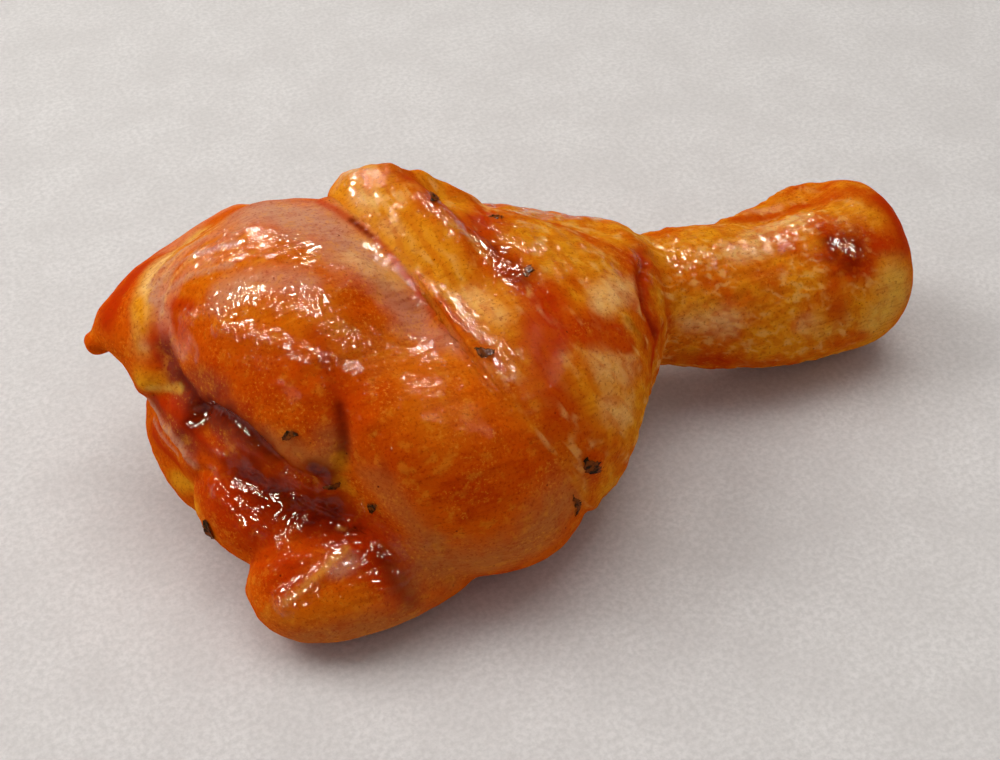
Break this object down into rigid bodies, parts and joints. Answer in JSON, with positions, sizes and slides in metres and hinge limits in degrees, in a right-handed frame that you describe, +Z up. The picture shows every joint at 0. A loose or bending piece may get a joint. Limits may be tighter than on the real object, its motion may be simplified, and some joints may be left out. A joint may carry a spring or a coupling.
{
  "type": "raw chicken drumstick",
  "caption": "Raw marinated chicken drumstick lying on its side: bare muscle at the knee end, and a sleeve of skin over the calf, the shank and the knuckle.",
  "frame": {"origin": "middle of the drumstick's box, on the surface that it lies on", "axes": "+X towards the knuckle, +Y to the back, where the skin folds reach furthest, +Z up"},
  "size_m": [0.1332, 0.066, 0.0498],
  "materials": {
    "drumstick": "raw meat and skin, wet with an orange-red marinade"
  },
  "bodies": {
    "root": {"drumstick": "drumstick"}
  },
  "joints": []
}
